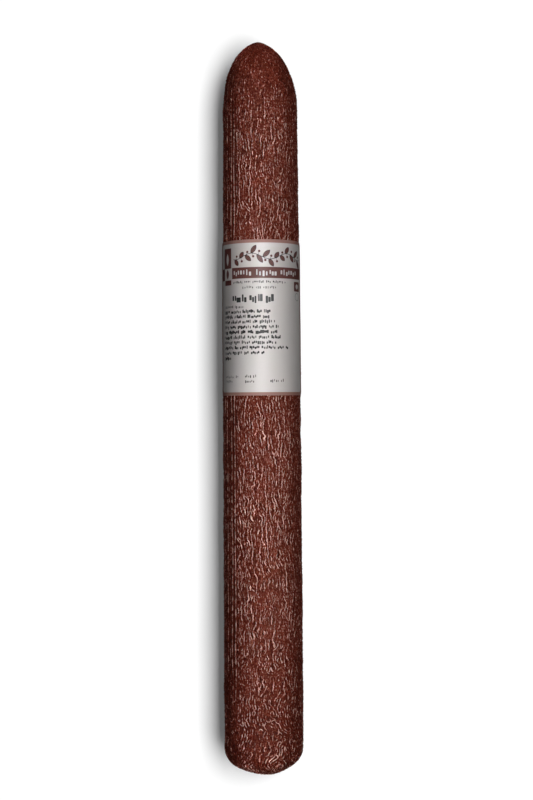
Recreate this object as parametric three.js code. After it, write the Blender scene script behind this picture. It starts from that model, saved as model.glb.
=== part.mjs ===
// A long cured sausage lying on its side, with a film label wrapped over its upper half.
// Millimetres, +Z up. The sausage lies along Y, pointed end towards +Y, blunt end towards -Y.
// The origin is on the table, under the middle of the sausage's length.
import * as THREE from "three";

// Sausage: a tapered round body between a pointed end and a blunt end.
const LENGTH = 385.3;
const POINTED_END_DIAMETER = 39.1; // where the pointed end meets the body
const BLUNT_END_DIAMETER = 41.4; // where the blunt end meets the body
const POINTED_END_LENGTH = 42;
const BLUNT_END_LENGTH = 15;
const REST_SINK = 0.45; // how far its own weight presses the underside flat

// Roundness of an end: a higher shoulder exponent is fuller, a lower tip exponent is sharper.
const POINTED_END_SHAPE = { shoulder: 2.8, tip: 1.5 };
const BLUNT_END_SHAPE = { shoulder: 2.4, tip: 1.2 };

// The ends aren't quite straight: each tip lies a little off the body's middle line.
const POINTED_TIP_OFFSET = 0.9; // towards -X
const POINTED_TIP_LENGTH = 30; // how far from the tip the sausage bends
const BLUNT_TIP_OFFSET = 2.1; // towards +X
const BLUNT_TIP_LENGTH = 7;

// Label: a rounded rectangle of film, wrapped round the sausage and centred on its top.
const LABEL_LENGTH = 80; // along the sausage
const LABEL_WIDTH = 58; // round the sausage
const LABEL_THICKNESS = 0.25;
const LABEL_CLEARANCE = 0.3; // between the casing and the film
const LABEL_CORNER_RADIUS = 2.5;
const LABEL_FROM_POINTED_TIP = 106.1;

// Facets
const ROUND_FACETS = 64;
const POINTED_END_RINGS = 14;
const BLUNT_END_RINGS = 10;
const BODY_RING_SPACING = 20;
const LABEL_COLUMNS = 36;
const LABEL_ROWS = 8;
const LABEL_CORNER_ROWS = 4;

const bodyStart = POINTED_END_LENGTH;
const bodyEnd = LENGTH - BLUNT_END_LENGTH;

// Places along the sausage are given as fromTip, the distance from the pointed tip.
const yAt = (fromTip) => LENGTH / 2 - fromTip;

// The body's radius, thickening quickly at first and then hardly at all towards the blunt end.
function bodyRadius(fromTip) {
  const share = THREE.MathUtils.clamp((fromTip - bodyStart) / (bodyEnd - bodyStart), 0, 1);
  const thickened = 1 - (1 - share) ** 2;
  return THREE.MathUtils.lerp(POINTED_END_DIAMETER, BLUNT_END_DIAMETER, thickened) / 2;
}

// How much of the body's radius is left at a distance from an end's tip.
function endShare(distance, endLength, shape) {
  const inward = Math.max(0, 1 - distance / endLength);
  return (1 - inward ** shape.shoulder) ** (1 / shape.tip);
}

function sausageRadius(fromTip) {
  const pointed = endShare(fromTip, POINTED_END_LENGTH, POINTED_END_SHAPE);
  const blunt = endShare(LENGTH - fromTip, BLUNT_END_LENGTH, BLUNT_END_SHAPE);
  return bodyRadius(fromTip) * pointed * blunt;
}

// Sideways place of the sausage's middle line, off centre only near the two tips.
function sideways(fromTip) {
  const nearPointedTip = 1 - Math.min(fromTip / POINTED_TIP_LENGTH, 1) ** 2;
  const nearBluntTip = Math.max(0, 1 - (LENGTH - fromTip) / BLUNT_TIP_LENGTH);
  return BLUNT_TIP_OFFSET * nearBluntTip ** 2 - POINTED_TIP_OFFSET * nearPointedTip ** 2;
}

// Height of the middle line, which leaves the body's underside REST_SINK below the table all along.
const axisHeight = (fromTip) => bodyRadius(fromTip) - REST_SINK;

// Distances from the pointed tip of the rings of facets, closer together towards each tip.
function ringPlaces() {
  const towardsTip = (count, endLength) =>
    Array.from({ length: count }, (_, i) => endLength * (1 - Math.cos((Math.PI / 2) * (i / count))));
  const bodyRings = Math.ceil((bodyEnd - bodyStart) / BODY_RING_SPACING);
  const body = Array.from({ length: bodyRings + 1 }, (_, i) =>
    THREE.MathUtils.lerp(bodyStart, bodyEnd, i / bodyRings),
  );
  const blunt = towardsTip(BLUNT_END_RINGS, BLUNT_END_LENGTH).map((distance) => LENGTH - distance);
  return [...towardsTip(POINTED_END_RINGS, POINTED_END_LENGTH), ...body, ...blunt.reverse()];
}

// Moves every vertex of a geometry to where place(vertex) puts it.
function moveVertices(geometry, place) {
  const position = geometry.attributes.position;
  const vertex = new THREE.Vector3();
  for (let i = 0; i < position.count; i += 1) {
    place(vertex.fromBufferAttribute(position, i));
    position.setXYZ(i, vertex.x, vertex.y, vertex.z);
  }
  geometry.computeVertexNormals();
  return geometry;
}

function sausageGeometry() {
  const outline = ringPlaces()
    .map((fromTip) => new THREE.Vector2(sausageRadius(fromTip), yAt(fromTip)))
    .reverse();
  return moveVertices(new THREE.LatheGeometry(outline, ROUND_FACETS), (vertex) => {
    const fromTip = LENGTH / 2 - vertex.y;
    vertex.x += sideways(fromTip);
    vertex.z = Math.max(0, vertex.z + axisHeight(fromTip));
  });
}

// Places of the label's rows along its length, counted from its middle, with the corners' rows added.
function labelRowPlaces() {
  const straight = LABEL_LENGTH / 2 - LABEL_CORNER_RADIUS;
  const middle = Array.from({ length: LABEL_ROWS + 1 }, (_, i) =>
    THREE.MathUtils.lerp(-straight, straight, i / LABEL_ROWS),
  );
  const corner = Array.from(
    { length: LABEL_CORNER_ROWS },
    (_, i) => straight + LABEL_CORNER_RADIUS * Math.sin((Math.PI / 2) * ((i + 1) / LABEL_CORNER_ROWS)),
  );
  return [...corner.map((place) => -place).reverse(), ...middle, ...corner];
}

// Half the label's width at a place along its length, narrower within its rounded corners.
function labelHalfWidth(place) {
  const intoCorner = Math.max(0, Math.abs(place) - (LABEL_LENGTH / 2 - LABEL_CORNER_RADIUS));
  const cut = LABEL_CORNER_RADIUS - Math.sqrt(LABEL_CORNER_RADIUS ** 2 - intoCorner ** 2);
  return LABEL_WIDTH / 2 - cut;
}

function labelGeometry() {
  const rows = labelRowPlaces();
  const flat = new THREE.BoxGeometry(2, rows.length - 1, LABEL_THICKNESS, LABEL_COLUMNS, rows.length - 1, 1);
  return moveVertices(flat, (vertex) => {
    const place = rows[Math.round(vertex.y + (rows.length - 1) / 2)];
    const fromTip = LABEL_FROM_POINTED_TIP + LABEL_LENGTH / 2 - place;
    const middleRadius = bodyRadius(fromTip) + LABEL_CLEARANCE + LABEL_THICKNESS / 2;
    const angle = (vertex.x * labelHalfWidth(place)) / middleRadius;
    const radius = middleRadius + vertex.z;
    vertex.set(radius * Math.sin(angle), yAt(fromTip), axisHeight(fromTip) + radius * Math.cos(angle));
  });
}

function namedMesh(name, geometry, material) {
  const mesh = new THREE.Mesh(geometry, material);
  mesh.name = name;
  return mesh;
}

const casing = new THREE.MeshStandardMaterial({ color: 0x66322b, roughness: 0.42, metalness: 0 });
const labelFilm = new THREE.MeshStandardMaterial({ color: 0xd7d2cf, roughness: 0.5, metalness: 0 });

const curedSausage = new THREE.Group();
curedSausage.add(
  namedMesh("sausage", sausageGeometry(), casing),
  namedMesh("label", labelGeometry(), labelFilm),
);

export default curedSausage;
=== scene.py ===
"""The looks of a cured sausage and its label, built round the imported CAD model.

The body's surface is worked out in millimetres, as distances from the pointed tip and angles round
the sausage (0 at the top, a quarter turn at +X), and goes into Blender in metres.
"""
import math

import bpy
import numpy as np
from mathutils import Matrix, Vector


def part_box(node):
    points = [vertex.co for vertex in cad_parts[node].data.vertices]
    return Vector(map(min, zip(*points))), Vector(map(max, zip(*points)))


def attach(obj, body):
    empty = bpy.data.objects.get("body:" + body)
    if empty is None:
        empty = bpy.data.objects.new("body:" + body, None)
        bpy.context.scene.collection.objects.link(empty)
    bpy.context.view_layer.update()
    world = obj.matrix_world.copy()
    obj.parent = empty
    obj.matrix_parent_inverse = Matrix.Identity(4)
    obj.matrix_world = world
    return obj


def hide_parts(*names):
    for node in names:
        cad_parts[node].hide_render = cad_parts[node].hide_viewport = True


MM = 0.001
TAU = 2 * math.pi

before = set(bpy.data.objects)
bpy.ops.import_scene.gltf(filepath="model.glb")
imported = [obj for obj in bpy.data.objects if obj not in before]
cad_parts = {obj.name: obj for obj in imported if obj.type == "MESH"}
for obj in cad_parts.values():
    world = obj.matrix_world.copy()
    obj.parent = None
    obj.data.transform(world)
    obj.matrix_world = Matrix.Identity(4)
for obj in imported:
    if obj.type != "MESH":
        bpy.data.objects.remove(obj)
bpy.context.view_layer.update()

# ---------------------------------------------------------------------------------------------
# Body: the CAD model's shape, with its overall sizes taken from the frame
# ---------------------------------------------------------------------------------------------
sausage_low, sausage_high = (np.array(corner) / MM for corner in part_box("sausage"))
label_low, label_high = (np.array(corner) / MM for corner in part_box("label"))

LENGTH = sausage_high[1] - sausage_low[1]
BLUNT_END_DIAMETER = sausage_high[0] - sausage_low[0]
REST_SINK = BLUNT_END_DIAMETER - sausage_high[2]
POINTED_END_DIAMETER = 39.1
POINTED_END_LENGTH = 42
BLUNT_END_LENGTH = 15
POINTED_END_SHAPE = {"shoulder": 2.8, "tip": 1.5}
BLUNT_END_SHAPE = {"shoulder": 2.4, "tip": 1.2}
POINTED_TIP_OFFSET = 0.9
POINTED_TIP_LENGTH = 30
BLUNT_TIP_OFFSET = 2.1
BLUNT_TIP_LENGTH = 7


def body_radius(from_tip):
    """Radius of the body, which thickens from the pointed end to the blunt end."""
    body_length = LENGTH - BLUNT_END_LENGTH - POINTED_END_LENGTH
    share = np.clip((from_tip - POINTED_END_LENGTH) / body_length, 0, 1)
    thickened = 1 - (1 - share) ** 2
    return (POINTED_END_DIAMETER * (1 - thickened) + BLUNT_END_DIAMETER * thickened) / 2


def end_share(distance, end_length, shape):
    """How much of the body's radius is left at a distance from an end's tip."""
    inward = np.maximum(0, 1 - distance / end_length)
    return np.maximum(0, 1 - inward ** shape["shoulder"]) ** (1 / shape["tip"])


def sausage_radius(from_tip):
    pointed = end_share(from_tip, POINTED_END_LENGTH, POINTED_END_SHAPE)
    blunt = end_share(LENGTH - from_tip, BLUNT_END_LENGTH, BLUNT_END_SHAPE)
    return body_radius(from_tip) * pointed * blunt


def sideways(from_tip):
    """Sideways place of the middle line, which leaves the centre only near the two tips."""
    near_pointed_tip = 1 - np.minimum(from_tip / POINTED_TIP_LENGTH, 1) ** 2
    near_blunt_tip = np.maximum(0, 1 - (LENGTH - from_tip) / BLUNT_TIP_LENGTH)
    return BLUNT_TIP_OFFSET * near_blunt_tip**2 - POINTED_TIP_OFFSET * near_pointed_tip**2


def body_point(from_tip, angle, radius):
    """Points at a radius round the middle line, as an array whose last axis is x, y, z."""
    x = sideways(from_tip) + radius * np.sin(angle)
    y = LENGTH / 2 - from_tip + 0 * angle
    z = body_radius(from_tip) - REST_SINK + radius * np.cos(angle)
    return np.stack(np.broadcast_arrays(x, y, z), axis=-1)


def smooth_step(low, high, value):
    """0 below low, 1 above high, and a smooth rise between."""
    share = np.clip((value - low) / (high - low), 0, 1)
    return share * share * (3 - 2 * share)


# ---------------------------------------------------------------------------------------------
# Casing: one closed skin whose dried wrinkles are real geometry
# ---------------------------------------------------------------------------------------------
CASING_ROWS = 1240
CASING_COLUMNS = 600
CASING_SEED = 11
UNDER_LABEL_MARGIN = 1.0  # over which the casing goes from free to pressed flat by the label
PRESSED_FLAT = 0.8  # the share of its wrinkles that the casing loses under the label

WRINKLE_HEIGHT = 0.6
WRINKLE_SPACING = 1.9
WRINKLE_STEPS = 80
LUMP_HEIGHT = 0.1
# The creases beside a fold are real hollows, and their darkness in the colour is painted shade.
SIDE_REACH = 0.8  # from a fold's crest to the dark creases beside it
SIDE_DEPTH = 0.55  # of those creases, where the crest is 1
CRUMPLED_END = 75  # from the blunt tip, where the lengthwise wrinkles turn into crumples
FADING_POINTED_END = 95  # from the pointed tip, where the folds grow fainter
DARKER_POINTED_END = 60
DARKER_BLUNT_END = 90

# Random fields over the casing, with sizes as (along, round).
SWAYS_ROUND = [((0.4, 0.6), 0.14), ((1.2, 1.0), 0.22), ((2.6, 1.6), 0.24)]  # (size, how far)
SWAY_ALONG = 0.3
SWAY_ALONG_SIZE = (1.2, 0.9)
GRAIN_SIZE = (0.22, 0.16)
SPARKLE_SIZE = (0.3, 0.22)
SPARKLE_LEVELS = (1.4, 2.1)
PATCH_SIZE = (3.0, 1.8)
CRUMPLED_LEVELS = (1.3, 2.2)
BLUNT_END_LIFT = 2.8  # added to the patches, so that all of the blunt end is crumpled
LOCAL_MEAN = 0.8
LOCAL_MEAN_SIZE = (1.8, 1.1)
STRENGTH_SIZE = (6, 2.5)
LUMP_SIZE = (3.5, 2.2)
RISE = (-1.8, 2.4)  # from a crease's bottom to a crest's top
BRIGHTNESS = 0.33
CONTRAST = 0.55

# Kinds of fold. Sizes are (along, round). "uprightness" holds back folds that run round the
# sausage as they grow, and "straightness" fades what is left of them.
WIDE_FOLDS = {
    "spacing": 2 * WRINKLE_SPACING,
    "uprightness": 0.4,
    "unrest": 0.35,
    "unrest_size": (1.5, 0.5),
    "width": 0.2,
    "straightness": 1.0,
    "strength": 3.0,
    "patch_size": (1.2, 0.5),
}
NARROW_FOLDS = {
    "spacing": 1.3 * WRINKLE_SPACING,
    "uprightness": 0.4,
    "unrest": 0.35,
    "unrest_size": (1.0, 0.4),
    "width": 0.17,
    "straightness": 1.0,
    "strength": 2.2,
    "patch_size": (0.8, 0.4),
}
CRUMPLES = {
    "spacing": 1.45 * WRINKLE_SPACING,
    "uprightness": 0.05,
    "unrest": 0.7,
    "unrest_size": (0.6, 0.6),
    "width": 0.22,
    "straightness": 0.3,
    "strength": 4.2,
    "patch_size": (0.5, 0.5),
}
LONG_FOLDS = {
    "angles": (-61, -50, -43.5),
    "width": 0.26,
    "strength": 3.2,
    "side_reach": 0.85,
    "side_width": 0.4,
    "side_strength": 1.3,
    "takes_over": 1.1,  # how far beside a fold the wrinkles give way to it
}


def casing_places():
    """Distances of the rows of points from the pointed tip, evenly spaced along the surface.

    Also gives the length of the surface from tip to tip.
    """
    fine_steps = 40000
    fine = np.linspace(0, LENGTH, fine_steps + 1)
    steps = np.hypot(np.diff(fine), np.diff(sausage_radius(fine)))
    along = np.concatenate([[0], np.cumsum(steps)])
    return np.interp(np.linspace(0, along[-1], CASING_ROWS + 2), along, fine), along[-1]


class Skin:
    """Fields of values over the casing's surface, unrolled flat: rows along, columns round."""

    shape = (CASING_ROWS, CASING_COLUMNS)

    def __init__(self, length, circumference, seed):
        self.row_step = length / CASING_ROWS
        self.column_step = circumference / CASING_COLUMNS
        self.waves_along = TAU * np.fft.fftfreq(CASING_ROWS, self.row_step)[:, None]
        self.waves_round = TAU * np.fft.rfftfreq(CASING_COLUMNS, self.column_step)[None, :]
        self.random = np.random.default_rng(seed)

    def soft_noise(self, along, across):
        """Random hills of about these sizes, with a mean of 0 and a spread of 1."""
        waves = np.fft.rfft2(self.random.standard_normal(self.shape))
        waves *= np.exp(-((self.waves_along * along) ** 2 + (self.waves_round * across) ** 2) / 2)
        waves[0, 0] = 0
        hills = np.fft.irfft2(waves, s=self.shape)
        return hills / hills.std()

    def softened(self, field, along, across):
        """The field blurred over about these lengths."""
        blur = np.exp(-((self.waves_along * along) ** 2 + (self.waves_round * across) ** 2) / 2)
        return np.fft.irfft2(np.fft.rfft2(field) * blur, s=self.shape)

    def lines(self, hills, width, straightness):
        """Wandering folds of one width: 1 along a fold's crest, and below 0 down its two sides.

        A fold follows a level curve of the hills. Their height over their slope is about the
        distance from that curve. Straightness fades the stretches that turn round the sausage.
        """
        slope_along = (np.roll(hills, -1, 0) - np.roll(hills, 1, 0)) / (2 * self.row_step)
        slope_round = (np.roll(hills, -1, 1) - np.roll(hills, 1, 1)) / (2 * self.column_step)
        least_slope = 0.1
        slope = np.hypot(slope_along, slope_round) + least_slope
        distance = np.abs(hills) / slope
        crest = np.exp(-((distance / width) ** 2))
        sides = np.exp(-(((distance - SIDE_REACH) / (SIDE_REACH / 2)) ** 2))
        # Below 0 beside the crest: creases in the height, and painted shade where these values colour the
        # casing.
        return (crest - SIDE_DEPTH * sides) * (np.abs(slope_round) / slope) ** straightness

    def wrinkles(self, spacing, uprightness):
        """Ridges about one spacing apart that branch and end as a shrinking skin's do.

        A Swift-Hohenberg pattern: waves of the right spacing grow until they saturate, and those
        that run round the sausage are held back by uprightness.
        """
        growth_limit, skew, time_step, height_limit, first_height = 0.5, 0.6, 0.4, 2.0, 0.3
        wave = TAU / spacing
        off_spacing = 1 - (self.waves_along**2 + self.waves_round**2) / wave**2
        growth = growth_limit - off_spacing**2 - uprightness * (self.waves_along / wave) ** 2
        damping = 1 / (1 - time_step * growth)
        height = first_height * self.random.standard_normal(self.shape)
        for _ in range(WRINKLE_STEPS):
            height = np.clip(height, -height_limit, height_limit)
            pushed = height + time_step * (skew * height**2 - height**3)
            height = np.fft.irfft2(np.fft.rfft2(pushed) * damping, s=self.shape)
        return height / height.std()

    def shifted(self, field, along, across):
        """The field read at places moved along and across, so that its lines sway."""
        rows, columns = np.meshgrid(*(np.arange(count) for count in self.shape), indexing="ij")
        rows = rows + along / self.row_step
        columns = columns + across / self.column_step
        row, column = np.floor(rows).astype(int), np.floor(columns).astype(int)
        row_share, column_share = rows - row, columns - column
        row_0, row_1 = row % self.shape[0], (row + 1) % self.shape[0]
        column_0, column_1 = column % self.shape[1], (column + 1) % self.shape[1]
        near = field[row_0, column_0] * (1 - column_share) + field[row_0, column_1] * column_share
        far = field[row_1, column_0] * (1 - column_share) + field[row_1, column_1] * column_share
        return near * (1 - row_share) + far * row_share


def hills_of(skin, kind):
    """The hills whose level curves a kind of fold follows."""
    hills = skin.wrinkles(kind["spacing"], kind["uprightness"])
    return hills + kind["unrest"] * skin.soft_noise(*kind["unrest_size"])


def folds_of(skin, kind, hills):
    """A kind of fold along the hills, mostly faint and here and there bold."""
    faint, swing, boldest = 0.52, 0.85, 2.4
    uneven = np.minimum(faint * np.exp(swing * skin.soft_noise(*kind["patch_size"])), boldest)
    lines = skin.lines(hills, kind["width"], kind["straightness"])
    return kind["strength"] * lines * uneven


def casing_angles():
    return TAU * np.arange(CASING_COLUMNS) / CASING_COLUMNS


def away_from(angle):
    """How far each column of points is round from an angle, from minus to plus half a turn."""
    return (casing_angles() - angle + math.pi) % TAU - math.pi


def long_folds(skin, radius):
    """The folds that run straight down one flank, and how far they take over from the wrinkles."""
    fold, share = np.zeros(skin.shape), np.zeros(skin.shape)
    faint, swing, boldest, most_taken_over, wander = 0.8, 0.7, 2.2, 0.85, 0.15
    for fold_angle in LONG_FOLDS["angles"]:
        across = radius * away_from(math.radians(fold_angle))[None, :] + wander * skin.soft_noise(6, 4)
        dashes = np.minimum(faint * np.exp(swing * skin.soft_noise(0.5, 0.4)), boldest)
        beside = (np.abs(across) - LONG_FOLDS["side_reach"]) / LONG_FOLDS["side_width"]
        fold += LONG_FOLDS["strength"] * dashes * np.exp(-((across / LONG_FOLDS["width"]) ** 2))
        # Creases beside each fold: real hollows, with painted shade in the casing's colour.
        fold -= LONG_FOLDS["side_strength"] * np.exp(-(beside**2))
        share = np.maximum(share, np.exp(-((across / LONG_FOLDS["takes_over"]) ** 2)))
    return fold, most_taken_over * share


def wrinkled_heights(places, length):
    """How far each point of the casing stands off the body's shape, and its ridge light: painted
    highlights on crests and glints, and painted shade in creases and on the flanks, which also sets its
    gloss.
    """
    skin = Skin(length, TAU * BLUNT_END_DIAMETER / 2, CASING_SEED)
    from_tip = places[:, None]
    crumpled_end = smooth_step(CRUMPLED_END, CRUMPLED_END / 3, LENGTH - from_tip)

    sway_round = sum(skin.soft_noise(*size) * reach for size, reach in SWAYS_ROUND)
    sway_along = skin.soft_noise(*SWAY_ALONG_SIZE) * SWAY_ALONG
    wide, narrow, tangled = [hills_of(skin, kind) for kind in (WIDE_FOLDS, NARROW_FOLDS, CRUMPLES)]
    lengthwise = folds_of(skin, WIDE_FOLDS, wide) + folds_of(skin, NARROW_FOLDS, narrow)
    lengthwise = skin.shifted(lengthwise, sway_along, sway_round)
    crumples = folds_of(skin, CRUMPLES, tangled)
    grain = skin.soft_noise(*GRAIN_SIZE)
    sparkles = smooth_step(*SPARKLE_LEVELS, skin.soft_noise(*SPARKLE_SIZE))

    # Crumples take over in patches and at the blunt end. Taking the local mean away keeps the
    # folds equally strong all over.
    patches = skin.soft_noise(*PATCH_SIZE) + BLUNT_END_LIFT * crumpled_end
    crumpled = smooth_step(*CRUMPLED_LEVELS, patches)
    mixed = (1 - crumpled) * lengthwise + crumpled * crumples
    mixed = mixed - LOCAL_MEAN * skin.softened(mixed, *LOCAL_MEAN_SIZE)

    # Painted shade darkens the flanks, whose folds are fainter, and the painted sparkles there are
    # brighter.
    flank = smooth_step(0.5, 0.95, np.abs(np.sin(casing_angles())))[None, :]
    fold, folded = long_folds(skin, body_radius(from_tip))
    mixed = mixed * (1 - 0.5 * flank) * (1 - folded) + fold * (1 - crumpled_end)
    strength = 0.65 + 0.35 * smooth_step(-1.9, -0.2, skin.soft_noise(*STRENGTH_SIZE))
    ends = smooth_step(0, 0.6, sausage_radius(from_tip) / body_radius(from_tip))
    fainter = 0.35 + 0.65 * smooth_step(0, FADING_POINTED_END, from_tip)
    # The glints are painted highlights: pale sparkles in the casing's colour, strongest on the flanks,
    # which also raise the crests a little.
    painted_glints = (2.6 + 3.4 * flank) * sparkles * smooth_step(0, 0.9, mixed)
    wrinkled = (mixed * strength + painted_glints) * fainter * ends + (0.85 - 0.3 * fainter) * grain * ends
    lumps = skin.soft_noise(*LUMP_SIZE)

    # The body's shape lies at three quarters of the wrinkles' height.
    height = WRINKLE_HEIGHT * (smooth_step(*RISE, wrinkled) - 0.75) + LUMP_HEIGHT * lumps * ends
    pointed_end = 0.73 + 0.27 * smooth_step(0, DARKER_POINTED_END, from_tip)
    blunt_end = 0.75 + 0.25 * smooth_step(0, DARKER_BLUNT_END, LENGTH - from_tip)
    # Painted shade: the colour is darker on the flanks. It is also darker towards both tips.
    brightness = BRIGHTNESS * pointed_end * blunt_end * (1 - 0.15 * flank)
    return height, np.clip(brightness * np.exp(CONTRAST * wrinkled), 0, 1)


def pressed_by_label(rings):
    """1 where a point of the casing is under the label, and 0 where it is clear of it."""
    label_top, label_bottom = LENGTH / 2 - label_high[1], LENGTH / 2 - label_low[1]
    to_end = np.minimum(rings - label_top, label_bottom - rings)
    to_side = LABEL_WIDTH / 2 - np.abs(away_from(0))[None, :] * body_radius(rings)[:, None]
    inside_length = smooth_step(-UNDER_LABEL_MARGIN, UNDER_LABEL_MARGIN, to_end)
    return inside_length[:, None] * smooth_step(-UNDER_LABEL_MARGIN, UNDER_LABEL_MARGIN, to_side)


def casing_surface():
    """The casing's rings of points, its two tips, and the painted ridge light and shade of each ring
    point.
    """
    places, length = casing_places()
    rings = places[1:-1]
    angles = casing_angles()[None, :]
    height, ridge_light_and_shade = wrinkled_heights(rings, length)
    height = height * (1 - PRESSED_FLAT * pressed_by_label(rings))

    radius = sausage_radius(rings)
    slope = np.gradient(radius, rings)
    lean = (1 / np.hypot(1, slope))[:, None]
    outwards = (np.sin(angles) * lean, slope[:, None] * lean, np.cos(angles) * lean)
    points = body_point(rings[:, None], angles, radius[:, None])
    points = points + np.stack(np.broadcast_arrays(*outwards), axis=-1) * height[..., None]
    points[..., 2] = np.maximum(points[..., 2], 0)
    tips = body_point(np.array([0.0, LENGTH]), np.zeros(2), np.zeros(2))
    tips[:, 1] += height[0].mean(), -height[-1].mean()
    return points, tips, ridge_light_and_shade


def new_object(name, vertices, faces, material):
    mesh = bpy.data.meshes.new(name)
    mesh.from_pydata((vertices * MM).tolist(), [], faces)
    mesh.polygons.foreach_set("use_smooth", np.ones(len(faces), bool))
    mesh.materials.append(material)
    mesh.update()
    thing = bpy.data.objects.new(name, mesh)
    bpy.context.scene.collection.objects.link(thing)
    return thing


def set_attribute(thing, name, values):
    attribute = thing.data.attributes.new(name, "FLOAT", "POINT")
    attribute.data.foreach_set("value", np.asarray(values, np.float32).ravel())


def grid_faces(rows, columns, first, flip):
    """Quads over rows x columns of points numbered row by row from first."""
    corner = first + np.arange(rows - 1)[:, None] * columns + np.arange(columns - 1)[None, :]
    around = (corner, corner + 1, corner + columns + 1, corner + columns)
    quads = np.stack(around[::-1] if flip else around, axis=-1)
    return quads.reshape(-1, 4).tolist()


def make_casing(material):
    points, tips, ridge_light_and_shade = casing_surface()
    rows, columns = points.shape[:2]
    vertices = np.concatenate([points.reshape(-1, 3), tips])
    one = np.arange(columns)
    following = (one + 1) % columns
    ring = (np.arange(rows - 1) * columns)[:, None]
    around = (ring + one, ring + following, ring + columns + following, ring + columns + one)
    pointed_tip, blunt_tip = rows * columns, rows * columns + 1
    last = (rows - 1) * columns
    faces = np.stack(around, axis=-1).reshape(-1, 4).tolist()
    faces += np.stack([np.full(columns, pointed_tip), following, one], axis=-1).tolist()
    faces += np.stack([np.full(columns, blunt_tip), last + one, last + following], axis=-1).tolist()
    casing = new_object("casing", vertices, faces, material)
    tip_light_and_shade = [ridge_light_and_shade[0].mean(), ridge_light_and_shade[-1].mean()]
    set_attribute(casing, "ridge_light_and_shade", np.concatenate([ridge_light_and_shade.ravel(), tip_light_and_shade]))
    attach(casing, "root")
    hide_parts("sausage")
    return casing


# ---------------------------------------------------------------------------------------------
# Label print: signed distances in millimetres, below 0 inside a printed shape.
# Places on the label are (across, down): across from its middle towards +X, and down from its
# edge nearer the pointed end.
# ---------------------------------------------------------------------------------------------
LABEL_LENGTH = label_high[1] - label_low[1]
LABEL_WIDTH = 58
LABEL_THICKNESS = 0.25
LABEL_CLEARANCE = 0.3
LABEL_CORNER_RADIUS = 2.5
LABEL_ROWS = 401
LABEL_COLUMNS = 291
LABEL_SEED = 5
CLEAR_MARGIN = {"end": 1.7, "side": 2.3}
PANEL_CORNER_RADIUS = 1.8
RIM_ANGLE = 50  # degrees, above which two of the film's faces meet at a sharp edge
FAR_AWAY = 9.0  # the distance that stands for a place with no ink


def box_distance(across, down, middle, size, corner=0.0):
    """Distance from a rectangle with rounded corners."""
    over_x = np.abs(across - middle[0]) - (size[0] / 2 - corner)
    over_y = np.abs(down - middle[1]) - (size[1] / 2 - corner)
    outside = np.hypot(np.maximum(over_x, 0), np.maximum(over_y, 0))
    return outside + np.minimum(np.maximum(over_x, over_y), 0) - corner


def span_distance(across, down, across_span, down_span, corner=0.0):
    """Distance from the rounded rectangle that fills a span each way."""
    middle = (sum(across_span) / 2, sum(down_span) / 2)
    size = (across_span[1] - across_span[0], down_span[1] - down_span[0])
    return box_distance(across, down, middle, size, corner)


def disc_distance(across, down, middle, radius):
    return np.hypot(across - middle[0], down - middle[1]) - radius


def leaf_distance(across, down, base, direction, length, width):
    """Distance from a pointed leaf, the overlap of two discs, that grows from base."""
    turn = math.radians(direction)
    along = (across - base[0]) * math.cos(turn) + (down - base[1]) * math.sin(turn) - length / 2
    beside = np.abs((down - base[1]) * math.cos(turn) - (across - base[0]) * math.sin(turn))
    radius = (length**2 / 4 + width**2 / 4) / width
    return np.hypot(along, beside + radius - width / 2) - radius


def stroke_distance(across, down, start, end, thickness):
    """Distance from a straight stroke with round ends."""
    run = np.array(end, float) - start
    share = ((across - start[0]) * run[0] + (down - start[1]) * run[1]) / (run @ run)
    share = np.clip(share, 0, 1)
    return np.hypot(across - start[0] - share * run[0], down - start[1] - share * run[1]) - thickness / 2


class Print:
    """One ink's signed distance over the label."""

    def __init__(self, across, down):
        self.across, self.down = across, down
        self.distance = np.full(across.shape, FAR_AWAY)

    def near(self, middle, reach):
        """Which points are within reach of a place, so that a small shape costs little."""
        return (np.abs(self.across - middle[0]) < reach) & (np.abs(self.down - middle[1]) < reach)

    def add(self, distance, where=slice(None)):
        self.distance[where] = np.minimum(self.distance[where], distance)

    def cut(self, distance, where=slice(None)):
        self.distance[where] = np.maximum(self.distance[where], -distance)


def stand_in_line(ink, random, across_span, middle, height, stroke, pitch, cut=False):
    """A row of plain upright ticks in groups, where the real label has a line of words.

    The ticks are bars of a few heights and form no letters.
    """
    place = across_span[0] + stroke / 2
    left_in_word = int(random.integers(3, 9))
    while place < across_span[1]:
        tick = height * (1.0 if random.random() < 0.35 else 0.7)
        lift = 0.15 * height if random.random() < 0.5 else -0.1 * height
        width = stroke * random.uniform(0.8, 1.6)
        spot = (place, middle + lift)
        where = ink.near(spot, height + width)
        distance = box_distance(ink.across[where], ink.down[where], spot, (width, tick), 0.3 * stroke)
        (ink.cut if cut else ink.add)(distance, where)
        place += pitch * random.uniform(0.85, 1.25)
        left_in_word -= 1
        if left_in_word == 0:
            place += 1.1 * pitch
            left_in_word = int(random.integers(3, 9))


def vine_height(place):
    """How far down the label the frieze's stem is at a place across it."""
    middle, wave_height, wave_length = 8.6, 1.5, 19.0
    return middle + wave_height * math.sin(TAU * place / wave_length)


def print_leaf(dark, maroon, place, side):
    """A leaf with a dark rim and vein, on one side of the stem."""
    rim, vein = 0.13, 0.16
    base = (place, vine_height(place))
    direction = side * 52 + 8 * math.sin(1.7 * place)
    length = 4.5 + 0.8 * math.sin(2.3 * place)
    where = maroon.near(base, 6)
    across, down = maroon.across[where], maroon.down[where]
    leaf = leaf_distance(across, down, base, direction, length, 2.2)
    maroon.add(leaf, where)
    turn, vein_length = math.radians(direction), 0.8 * length
    vein_end = (base[0] + vein_length * math.cos(turn), base[1] + vein_length * math.sin(turn))
    dark.add(stroke_distance(across, down, base, vein_end, vein), where)
    dark.add(np.abs(leaf + 0.02) - rim, where)


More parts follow.
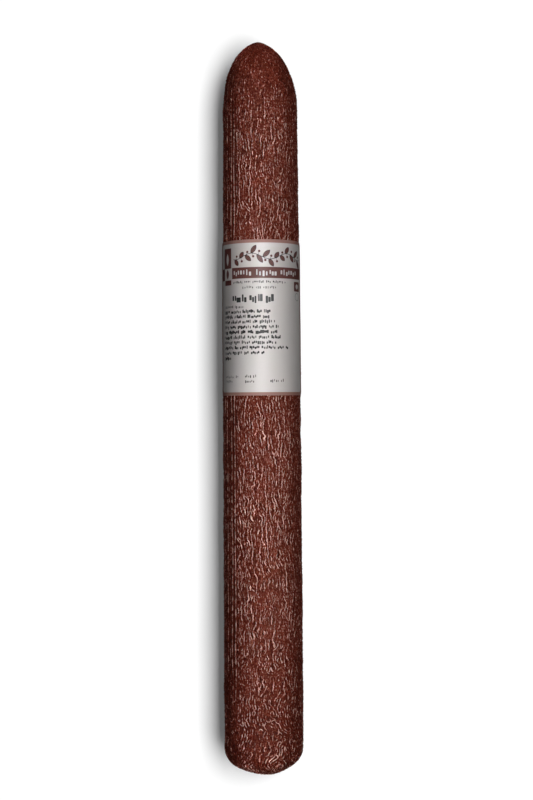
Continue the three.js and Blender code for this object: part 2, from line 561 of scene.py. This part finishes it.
def print_berry(dark, maroon, place, side, leaf_step):
    """A berry on a short stalk, on the side of the stem away from the leaf."""
    radius, stalk, away = 0.62, 0.2, 1.6
    berry = (place + 0.4 * leaf_step, vine_height(place) - side * away)
    stalk_start = (berry[0] - 0.5, vine_height(place + 0.2 * leaf_step))
    where = maroon.near(berry, 3)
    across, down = maroon.across[where], maroon.down[where]
    maroon.add(disc_distance(across, down, berry, radius), where)
    dark.add(stroke_distance(across, down, stalk_start, berry, stalk), where)


def print_frieze(dark, maroon, across_span):
    """A vine of leaves and berries along the top of the panel."""
    stem_step, stem, leaf_step, bare_end = 0.5, 0.3, 3.1, 1
    place = across_span[0]
    while place < across_span[1]:
        start, end = [(spot, vine_height(spot)) for spot in (place, place + stem_step)]
        where = dark.near(start, 2)
        dark.add(stroke_distance(dark.across[where], dark.down[where], start, end, stem), where)
        place += stem_step
    side = 1
    place = across_span[0] + bare_end
    while place < across_span[1] - bare_end:
        print_leaf(dark, maroon, place, side)
        print_berry(dark, maroon, place, side, leaf_step)
        place += leaf_step
        side = -side


def print_label(across, down):
    """The distances of the white panel, the maroon ink and the dark ink."""
    random = np.random.default_rng(LABEL_SEED)
    half_width = LABEL_WIDTH / 2 - CLEAR_MARGIN["side"]
    panel = span_distance(
        across,
        down,
        (-half_width, half_width),
        (CLEAR_MARGIN["end"], LABEL_LENGTH - CLEAR_MARGIN["end"]),
        PANEL_CORNER_RADIUS,
    )
    dark, maroon = Print(across, down), Print(across, down)

    print_frieze(dark, maroon, (-15.5, half_width - 1.5))

    # The column and blocks at the left, with a plain leaf in two of them.
    column, window, foot = (-23.6, -17.3), (14.3, 20.4), (20.4, 23.0)
    maroon.add(span_distance(across, down, column, (3.9, window[0])))
    maroon.cut(leaf_distance(across, down, (-20.4, 13.0), -90, 6.5, 2.0))
    maroon.add(span_distance(across, down, (-half_width, column[0] + 0.2), window))
    maroon.add(leaf_distance(across, down, (-20.4, 19.8), -90, 5.0, 2.2))
    maroon.add(span_distance(across, down, (column[0] + 0.6, column[1]), foot))

    # The band, with light ticks in it.
    maroon.add(span_distance(across, down, (-16.6, half_width), (14.2, 19.9)))
    stand_in_line(maroon, random, (-15.3, 24.5), 17.1, 2.9, 0.75, 1.55, cut=True)

    # The block and the ring at the right.
    maroon.add(span_distance(across, down, (19.9, 25.9), (21.2, 26.2), 0.5))
    maroon.cut(disc_distance(across, down, (22.9, 23.7), 1.3))
    dark.add(np.abs(disc_distance(across, down, (22.9, 29.0), 1.9)) - 0.11)

    # Lines of ticks: (across span, down, height, stroke, pitch).
    lines = [
        ((-15.6, 13.8), 21.8, 1.25, 0.42, 0.82),
        ((-9.8, 8.4), 24.5, 1.3, 0.34, 0.95),
        ((-16.3, 6.2), 30.3, 3.7, 0.95, 1.45),
        ((-22.5, -8.1), 34.4, 1.45, 0.4, 0.85),
        ((-22.5, -12.2), 70.4, 1.3, 0.3, 0.85),
        ((-22.5, -15.5), 72.7, 1.3, 0.26, 0.85),
        ((-8.6, -2.7), 70.1, 1.35, 0.34, 0.85),
        ((-8.6, -3.4), 72.7, 1.45, 0.38, 0.85),
        ((4.6, 11.9), 72.4, 1.6, 0.4, 0.9),
    ]
    body_ends = (4.6, 4.0, 7.2, 8.9, 8.4, 10.7, 7.8, 15.2, 1.4, -17.9)
    heading_row = 4
    for row, end in enumerate(body_ends):
        stroke = 0.72 if row == heading_row else 0.58
        lines.append(((-22.9, end), 36.9 + 2.64 * row, 1.75, stroke, 0.86))
    for across_span, middle, height, stroke, pitch in lines:
        stand_in_line(dark, random, across_span, middle, height, stroke, pitch)
    return panel, maroon.distance, dark.distance


# ---------------------------------------------------------------------------------------------
# Label: a thin film wrapped round the casing
# ---------------------------------------------------------------------------------------------
def label_places():
    """Across and down of each of the label's points, with its corners rounded."""
    down = np.linspace(0, LABEL_LENGTH, LABEL_ROWS)
    into_corner = np.maximum(0, LABEL_CORNER_RADIUS - np.minimum(down, LABEL_LENGTH - down))
    cut = LABEL_CORNER_RADIUS - np.sqrt(LABEL_CORNER_RADIUS**2 - into_corner**2)
    share = np.linspace(-1, 1, LABEL_COLUMNS)
    across = (LABEL_WIDTH / 2 - cut)[:, None] * share[None, :]
    return across, np.broadcast_to(down[:, None], across.shape).copy()


def label_lift(across, down):
    """Slight waves in the film, where it bridges the wrinkles beneath it."""
    long_waves = 0.05 * np.sin(across / 2.3 + 0.6 * np.sin(down / 17)) * np.sin(down / 31 + 0.5)
    cross_waves = 0.04 * np.sin(down / 6.1 + 0.9 * np.sin(across / 9))
    return long_waves + cross_waves


def make_label(material):
    across, down = label_places()
    from_tip = LENGTH / 2 - label_high[1] + down
    inner = body_radius(from_tip) + LABEL_CLEARANCE
    angle = across / (inner + LABEL_THICKNESS / 2)
    lift = label_lift(across, down)
    outside = body_point(from_tip, angle, inner + LABEL_THICKNESS + lift)
    inside = body_point(from_tip, angle, inner + lift)
    rows, columns = across.shape
    count = rows * columns
    faces = grid_faces(rows, columns, 0, True) + grid_faces(rows, columns, count, False)
    index = np.arange(count).reshape(rows, columns)
    rim = np.concatenate([index[0, :-1], index[:-1, -1], index[-1, :0:-1], index[:0:-1, 0]])
    following = np.roll(rim, -1)
    faces += np.stack([rim, following, following + count, rim + count], axis=-1).tolist()
    vertices = np.concatenate([outside.reshape(-1, 3), inside.reshape(-1, 3)])
    label = new_object("label_film", vertices, faces, material)
    label.data.set_sharp_from_angle(angle=math.radians(RIM_ANGLE))
    for name, distance in zip(("panel", "maroon_ink", "dark_ink"), print_label(across, down)):
        set_attribute(label, name, np.concatenate([distance.ravel(), np.full(count, FAR_AWAY)]))
    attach(label, "root")
    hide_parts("label")
    return label


# ---------------------------------------------------------------------------------------------
# Materials
# ---------------------------------------------------------------------------------------------
def new_material(name):
    material = bpy.data.materials.new(name)
    material.use_nodes = True
    tree = material.node_tree
    return material, tree, tree.nodes["Principled BSDF"]


def add_node(tree, kind, settings=None, **inputs):
    """A node with its properties and input values set; an input may also be an output to link."""
    node = tree.nodes.new(kind)
    for name, value in (settings or {}).items():
        setattr(node, name, value)
    for name, value in inputs.items():
        socket = node.inputs[name.replace("_", " ")]
        if isinstance(value, bpy.types.NodeSocket):
            tree.links.new(value, socket)
        else:
            socket.default_value = value
    return node


def set_inputs(tree, node, values):
    for name, value in values.items():
        if isinstance(value, bpy.types.NodeSocket):
            tree.links.new(value, node.inputs[name])
        else:
            node.inputs[name].default_value = value


def attribute(tree, name):
    return add_node(tree, "ShaderNodeAttribute", {"attribute_name": name}).outputs["Fac"]


def ramp(tree, factor, stops):
    """A colour ramp with (place, colour) stops."""
    node = add_node(tree, "ShaderNodeValToRGB", Fac=factor)
    elements = node.color_ramp.elements
    while len(elements) < len(stops):
        elements.new(0.5)
    for element, (place, colour) in zip(elements, stops):
        element.position = place
        element.color = (*colour, 1)
    return node.outputs["Color"]


def mix_colour(tree, factor, first, second):
    """The first colour where the factor is 0, and the second where it is 1."""
    node = tree.nodes.new("ShaderNodeMix")
    node.data_type = "RGBA"
    for socket, value in zip((node.inputs[0], node.inputs[6], node.inputs[7]), (factor, first, second)):
        if isinstance(value, bpy.types.NodeSocket):
            tree.links.new(value, socket)
        else:
            socket.default_value = value if isinstance(value, float) else (*value, 1)
    return node.outputs[2]


def map_range(tree, value, low, high, to_low, to_high):
    return add_node(
        tree, "ShaderNodeMapRange", Value=value, From_Min=low, From_Max=high, To_Min=to_low, To_Max=to_high
    ).outputs["Result"]


def multiply(tree, first, second):
    node = add_node(tree, "ShaderNodeMath", {"operation": "MULTIPLY"})
    tree.links.new(first, node.inputs[0])
    tree.links.new(second, node.inputs[1])
    return node.outputs["Value"]


def noise(tree, coordinates, scale, detail=3.0):
    node = add_node(tree, "ShaderNodeTexNoise", Vector=coordinates, Scale=scale, Detail=detail)
    return node.outputs["Fac"]


# Colours of the casing by painted ridge light: painted shade at the bottom of a crease, the casing's own
# dark red in between, and a painted highlight on a crest.
CASING_PAINTED_LIGHT_TONES = [
    (0.10, (0.036, 0.005, 0.003)),
    (0.34, (0.126, 0.023, 0.013)),
    (0.50, (0.204, 0.053, 0.036)),
    (0.75, (0.390, 0.175, 0.140)),
    (1.00, (0.860, 0.580, 0.500)),
]
CASING_BROWN = (0.080, 0.026, 0.018)
CASING_GLOSS = (1.0, 0.66, 0.57)
SPECK_SCALE = 3400.0
SPECK_STRETCH = (1, 0.75, 1)
BLOTCH_SCALE = 110.0
GRAIN_SCALE = 2600.0


def casing_material():
    material, tree, shader = new_material("wrinkled_casing")
    coordinates = add_node(tree, "ShaderNodeTexCoord").outputs["Object"]
    stretched = add_node(tree, "ShaderNodeMapping", Vector=coordinates, Scale=SPECK_STRETCH)
    speck_noise = noise(tree, stretched.outputs["Vector"], SPECK_SCALE, 1.0)
    specks = map_range(tree, speck_noise, 0.3, 0.7, 0.66, 1.34)
    # The ridge value paints highlights on crests and shade in creases into the colour below.
    ridge_light_and_shade = multiply(tree, attribute(tree, "ridge_light_and_shade"), specks)
    ridge_colour_with_painted_light = ramp(tree, ridge_light_and_shade, CASING_PAINTED_LIGHT_TONES)
    blotches = map_range(tree, noise(tree, coordinates, BLOTCH_SCALE), 0.5, 0.8, 0.0, 0.35)
    colour = mix_colour(tree, blotches, ridge_colour_with_painted_light, CASING_BROWN)
    grain = noise(tree, coordinates, GRAIN_SCALE, 2.0)
    bump = add_node(tree, "ShaderNodeBump", Height=grain, Strength=0.35, Distance=0.00012)
    roughness = map_range(tree, ridge_light_and_shade, 0.3, 0.8, 0.5, 0.2)
    set_inputs(
        tree,
        shader,
        {
            "Base Color": colour,
            "Roughness": roughness,
            "Normal": bump.outputs["Normal"],
            "Specular IOR Level": map_range(tree, ridge_light_and_shade, 0.35, 0.8, 0.04, 0.9),
            "Specular Tint": (*CASING_GLOSS, 1),
        },
    )
    return material


PANEL_WHITE = (0.630, 0.595, 0.578)
CLEAR_FILM = (0.33, 0.165, 0.135)
MAROON_INK = (0.105, 0.024, 0.018)
DARK_INK = (0.012, 0.010, 0.010)
INK_EDGE = 0.05
FILM_GRAIN_SCALE = 700.0


def label_material():
    material, tree, shader = new_material("printed_film")
    coordinates = add_node(tree, "ShaderNodeTexCoord").outputs["Object"]
    colour = CLEAR_FILM
    layers = (("panel", PANEL_WHITE), ("maroon_ink", MAROON_INK), ("dark_ink", DARK_INK))
    for name, ink in layers:
        printed = map_range(tree, attribute(tree, name), -INK_EDGE, INK_EDGE, 1.0, 0.0)
        colour = mix_colour(tree, printed, colour, ink)
    grain = noise(tree, coordinates, FILM_GRAIN_SCALE, 2.0)
    bump = add_node(tree, "ShaderNodeBump", Height=grain, Strength=0.12, Distance=0.0001)
    set_inputs(
        tree,
        shader,
        {
            "Base Color": colour,
            "Roughness": 0.5,
            "Normal": bump.outputs["Normal"],
            "Coat Weight": 0.12,
            "Coat Roughness": 0.35,
        },
    )
    return material


# ---------------------------------------------------------------------------------------------
# Floor, lights and camera
# ---------------------------------------------------------------------------------------------
FLOOR_SIZE = 6.0
WORLD_STRENGTH = 0.02
PAPER_TONES = [(0.3, (0.95, 0.95, 0.95)), (0.7, (0.97, 0.97, 0.97))]


def make_floor():
    half = FLOOR_SIZE / 2
    corners = np.array([(-half, -half, 0), (half, -half, 0), (half, half, 0), (-half, half, 0)]) / MM
    material, tree, shader = new_material("floor")
    coordinates = add_node(tree, "ShaderNodeTexCoord").outputs["Object"]
    paper = ramp(tree, noise(tree, coordinates, 3.0), PAPER_TONES)
    set_inputs(tree, shader, {"Base Color": paper, "Roughness": 0.9, "Specular IOR Level": 0.0})
    floor = new_object("floor", corners, [[0, 1, 2, 3]], material)
    floor.visible_diffuse = False
    floor.visible_glossy = False
    return floor


def add_area_light(name, lit, direction, distance, size, power, spread):
    """A rectangular lamp, aimed at the sausage from an angle away from overhead, towards +X.

    It lights only the objects in lit, though everything casts a shadow from it. A small spread,
    in degrees, keeps its light nearly parallel, as a grid on a softbox does.
    """
    lamp = bpy.data.lights.new(name, "AREA")
    lamp.shape = "RECTANGLE"
    lamp.size, lamp.size_y = size
    lamp.energy = power
    lamp.spread = math.radians(spread)
    light = bpy.data.objects.new(name, lamp)
    turn = math.radians(direction)
    light.location = (distance * math.sin(turn), 0, distance * math.cos(turn))
    light.rotation_euler = (0, turn, 0)
    bpy.context.scene.collection.objects.link(light)
    receivers = bpy.data.collections.new(name + "_receivers")
    for thing in lit:
        receivers.objects.link(thing)
    light.light_linking.receiver_collection = receivers


def make_lights(floor, casing, label):
    lamps = [
        # name, lit, direction, distance, (width, length), power, spread
        ("floor_softbox", [floor], 19.5, 1.6, (0.72, 1.6), 33, 180),
        ("floor_fill", [floor], -22, 1.6, (1.0, 1.6), 4.2, 180),
        ("overhead_strip", [casing, label], 0, 0.9, (0.012, 1.2), 0.07, 3),
        ("overhead_softbox", [casing, label], 5, 1.6, (0.9, 1.6), 5.9, 180),
        ("left_strip", [casing, label], -60, 1.2, (0.03, 1.2), 0.1, 180),
        ("right_strip", [casing, label], 50, 1.2, (0.03, 1.2), 1.85, 180),
        ("overhead_gleam", [casing], 8, 1.2, (0.12, 1.2), 0.5, 180),
        ("left_gleam", [casing], -58, 1.2, (0.02, 1.2), 0.5, 180),
        ("right_gleam", [casing], 60, 1.2, (0.02, 1.2), 0.4, 180),
    ]
    for lamp in lamps:
        add_area_light(*lamp)
    world = bpy.data.worlds.new("studio")
    bpy.context.scene.world = world
    world.use_nodes = True
    background = world.node_tree.nodes["Background"]
    background.inputs["Color"].default_value = (1, 1, 1, 1)
    background.inputs["Strength"].default_value = WORLD_STRENGTH


CAMERA_HEIGHT = 0.780
CAMERA_PLACE = (0.0024, 0.0042)
CAMERA_LENS = 65.07
SENSOR_WIDTH = 36
CAMERA_ROLL = -0.37


def make_camera():
    """A camera straight above the sausage, with the pointed end towards the top of the picture."""
    camera_data = bpy.data.cameras.new("camera")
    camera_data.lens = CAMERA_LENS
    camera_data.sensor_width = SENSOR_WIDTH
    camera = bpy.data.objects.new("camera", camera_data)
    camera.location = (*CAMERA_PLACE, CAMERA_HEIGHT)
    camera.rotation_euler = (0, 0, math.radians(CAMERA_ROLL))
    bpy.context.scene.collection.objects.link(camera)
    bpy.context.scene.camera = camera


bpy.context.scene.view_settings.view_transform = "Standard"
make_camera()
floor = make_floor()
casing = make_casing(casing_material())
label = make_label(label_material())
make_lights(floor, casing, label)
